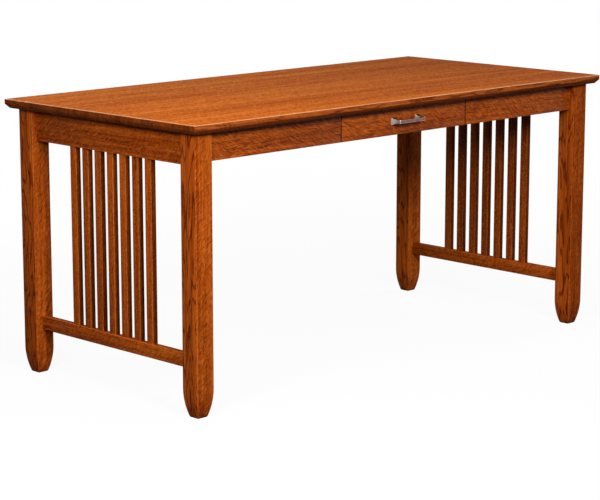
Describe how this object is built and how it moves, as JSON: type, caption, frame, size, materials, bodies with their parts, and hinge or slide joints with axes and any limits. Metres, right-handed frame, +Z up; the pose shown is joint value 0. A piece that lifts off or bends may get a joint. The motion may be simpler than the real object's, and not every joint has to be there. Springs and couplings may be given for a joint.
{
  "type": "work desk",
  "caption": "Wooden work desk with a wide flat top, square legs with curved feet, slatted ends and a shallow centre drawer with a bar pull.",
  "frame": {"origin": "on the floor, under the middle of the top", "axes": "+X along the desk, to the right of someone who faces the drawer; +Y from the drawer side to the back; +Z up"},
  "size_m": [1.626, 0.775, 0.762],
  "materials": {
    "oak": "satin lacquer over red-brown stained oak",
    "frame_wood": "plain sealed hardwood",
    "drawer_wood": "clear sealed maple",
    "pull_metal": "brushed pewter plate",
    "slide_steel": "bright zinc plate",
    "screw_steel": "zinc plate"
  },
  "bodies": {
    "desk": {"top_panel": "oak", "back_apron": "oak", "leg_front_left": "oak", "corner_block_front_left": "frame_wood", "leg_back_left": "oak", "corner_block_back_left": "frame_wood", "side_apron_left": "oak", "stretcher_left": "oak", "front_apron_left": "oak", "slat_left_1": "oak", "slat_left_2": "oak", "slat_left_3": "oak", "slat_left_4": "oak", "slat_left_5": "oak", "slat_left_6": "oak", "slat_left_7": "oak", "drawer_hanger_left": "frame_wood", "slide_outer_left": "slide_steel", "leg_front_right": "oak", "corner_block_front_right": "frame_wood", "leg_back_right": "oak", "corner_block_back_right": "frame_wood", "side_apron_right": "oak", "stretcher_right": "oak", "front_apron_right": "oak", "slat_right_1": "oak", "slat_right_2": "oak", "slat_right_3": "oak", "slat_right_4": "oak", "slat_right_5": "oak", "slat_right_6": "oak", "slat_right_7": "oak", "drawer_hanger_right": "frame_wood", "slide_outer_right": "slide_steel", "front_top_rail": "frame_wood", "top_clips": "screw_steel", "corner_block_screws": "screw_steel", "top_rail_screws": "screw_steel", "top_clip_screws": "screw_steel", "slide_hanger_screws": "screw_steel"},
    "drawer": {"drawer_front": "oak", "drawer_box_front": "drawer_wood", "drawer_box_back": "drawer_wood", "drawer_side_left": "drawer_wood", "drawer_side_right": "drawer_wood", "drawer_bottom": "drawer_wood", "drawer_pull": "pull_metal", "pull_screws": "screw_steel", "drawer_front_screws": "screw_steel", "slide_drawer_screws": "screw_steel", "slide_inner_left": "slide_steel", "slide_inner_right": "slide_steel"},
    "middle_left": {"slide_middle_left": "slide_steel"},
    "cage_outer_left": {"ball_cage_outer_left": "slide_steel"},
    "cage_inner_left": {"ball_cage_inner_left": "slide_steel"},
    "middle_right": {"slide_middle_right": "slide_steel"},
    "cage_outer_right": {"ball_cage_outer_right": "slide_steel"},
    "cage_inner_right": {"ball_cage_inner_right": "slide_steel"}
  },
  "joints": [
    {"name": "drawer_slide", "type": "slide", "parent": "desk", "child": "drawer", "axis": [0, -1, 0], "range_m": [0, 0.5]},
    {"name": "middle_left_slide", "type": "slide", "parent": "desk", "child": "middle_left", "axis": [0, -1, 0], "range_m": [0, 0.25]},
    {"name": "cage_outer_left_slide", "type": "slide", "parent": "desk", "child": "cage_outer_left", "axis": [0, -1, 0], "range_m": [0, 0.125]},
    {"name": "cage_inner_left_slide", "type": "slide", "parent": "desk", "child": "cage_inner_left", "axis": [0, -1, 0], "range_m": [0, 0.375]},
    {"name": "middle_right_slide", "type": "slide", "parent": "desk", "child": "middle_right", "axis": [0, -1, 0], "range_m": [0, 0.25]},
    {"name": "cage_outer_right_slide", "type": "slide", "parent": "desk", "child": "cage_outer_right", "axis": [0, -1, 0], "range_m": [0, 0.125]},
    {"name": "cage_inner_right_slide", "type": "slide", "parent": "desk", "child": "cage_inner_right", "axis": [0, -1, 0], "range_m": [0, 0.375]}
  ],
  "couplings": [
    {"joint": "middle_left_slide", "follows": "drawer_slide", "ratio": 0.5},
    {"joint": "cage_outer_left_slide", "follows": "drawer_slide", "ratio": 0.25},
    {"joint": "cage_inner_left_slide", "follows": "drawer_slide", "ratio": 0.75},
    {"joint": "middle_right_slide", "follows": "drawer_slide", "ratio": 0.5},
    {"joint": "cage_outer_right_slide", "follows": "drawer_slide", "ratio": 0.25},
    {"joint": "cage_inner_right_slide", "follows": "drawer_slide", "ratio": 0.75}
  ]
}
